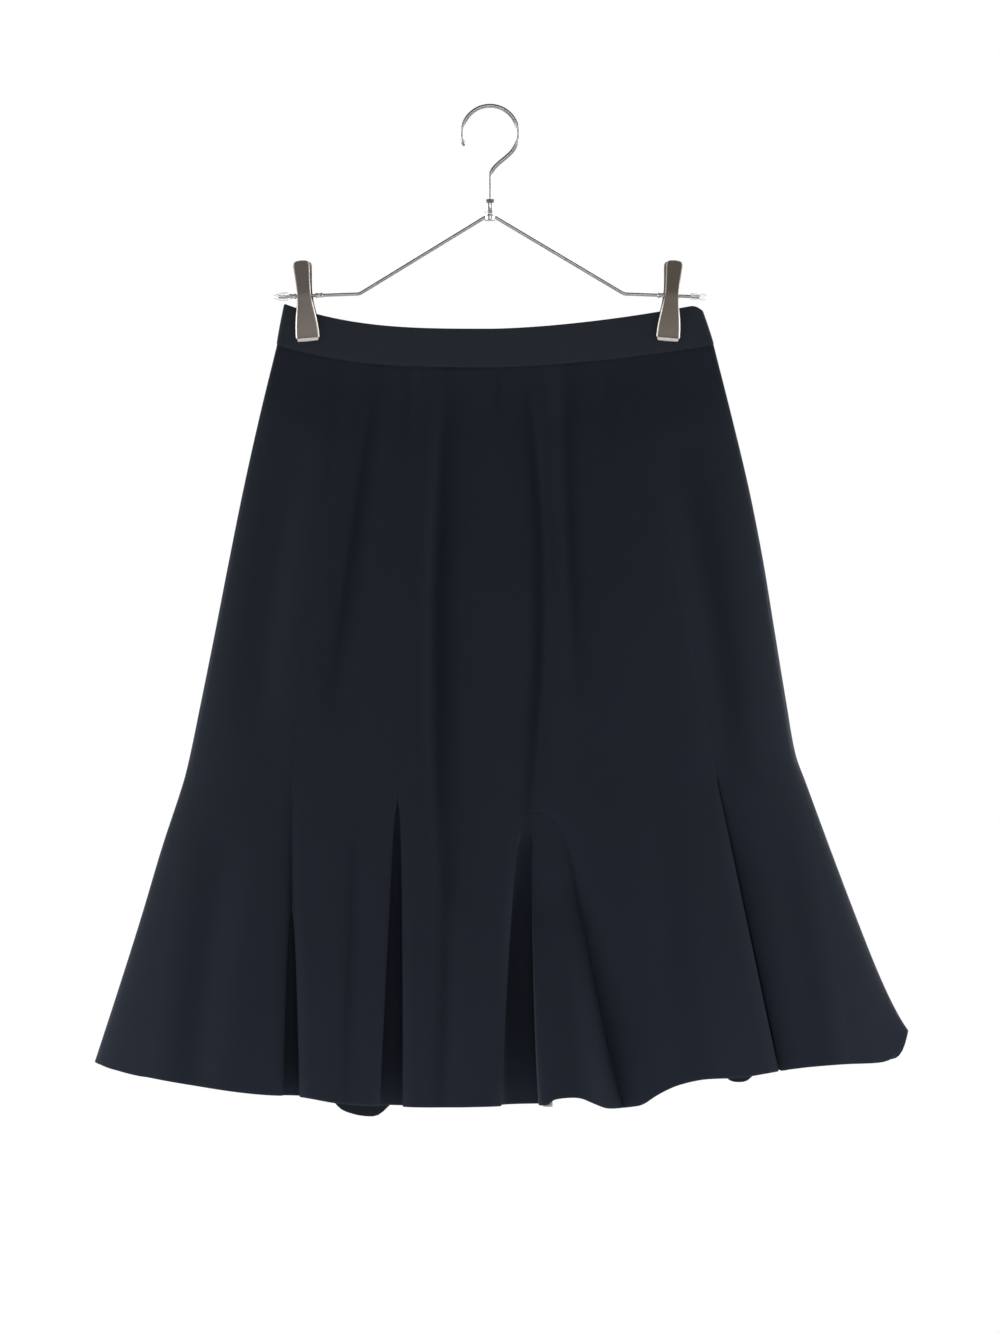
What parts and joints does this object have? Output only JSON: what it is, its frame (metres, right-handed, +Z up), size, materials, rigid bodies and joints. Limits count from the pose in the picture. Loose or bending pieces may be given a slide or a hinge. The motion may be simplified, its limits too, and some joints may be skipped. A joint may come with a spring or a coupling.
{
  "type": "mermaid skirt on a clip hanger",
  "caption": "Knee-length mermaid skirt with a shaped waistband and godets let in round the flared hem, hanging flat from a wire hanger with two clips.",
  "frame": {"origin": "where a rail touches the inside top of the hanger's hook", "axes": "+Z up, +X to the right of someone facing the skirt's front, the front faces -Y"},
  "size_m": [0.6484, 0.1402, 0.8176],
  "materials": {
    "cloth": "smooth midnight-navy suiting with a fine twill, matt with a faint cool sheen on folds",
    "zip_tape": "woven navy tape",
    "zip_metal": "dark navy enamel",
    "wire": "bright drawn steel wire",
    "clip_metal": "satin pewter-brown plated sheet metal, brighter along its edges",
    "clear_cap": "clear soft plastic"
  },
  "bodies": {
    "skirt_on_hanger": {"band_front": "cloth", "band_back_right": "cloth", "band_back_left": "cloth", "gore_front_side_left": "cloth", "gore_front_left": "cloth", "gore_front_centre": "cloth", "gore_front_right": "cloth", "gore_front_side_right": "cloth", "gore_back_side_right": "cloth", "gore_back_right": "cloth", "gore_back_left": "cloth", "gore_back_side_left": "cloth", "godet_side_left": "cloth", "godet_front_far_left": "cloth", "godet_front_left": "cloth", "godet_front_right": "cloth", "godet_front_far_right": "cloth", "godet_side_right": "cloth", "godet_back_right": "cloth", "godet_centre_back": "cloth", "godet_back_left": "cloth", "zip_tape_left": "zip_tape", "zip_tape_right": "zip_tape", "zip_slider": "zip_metal", "hanger_wire": "wire", "hanger_hook": "wire", "hanger_collar": "wire", "hanger_stop_left": "wire", "hanger_stop_right": "wire", "hanger_end_stop": "wire", "clip_left_spring": "wire", "clip_right_spring": "wire", "clip_left_front": "clip_metal", "clip_left_back": "clip_metal", "clip_right_front": "clip_metal", "clip_right_back": "clip_metal", "hanger_cap_left": "clear_cap", "hanger_cap_right": "clear_cap"},
    "zip_pull_tab": {"zip_pull": "zip_metal"}
  },
  "joints": [
    {"name": "zip_pull_swing", "type": "hinge", "parent": "skirt_on_hanger", "child": "zip_pull_tab", "pos_m": [0, 0.01155, -0.18465], "axis": [1, 0, 0], "range_deg": [0, 130]}
  ]
}
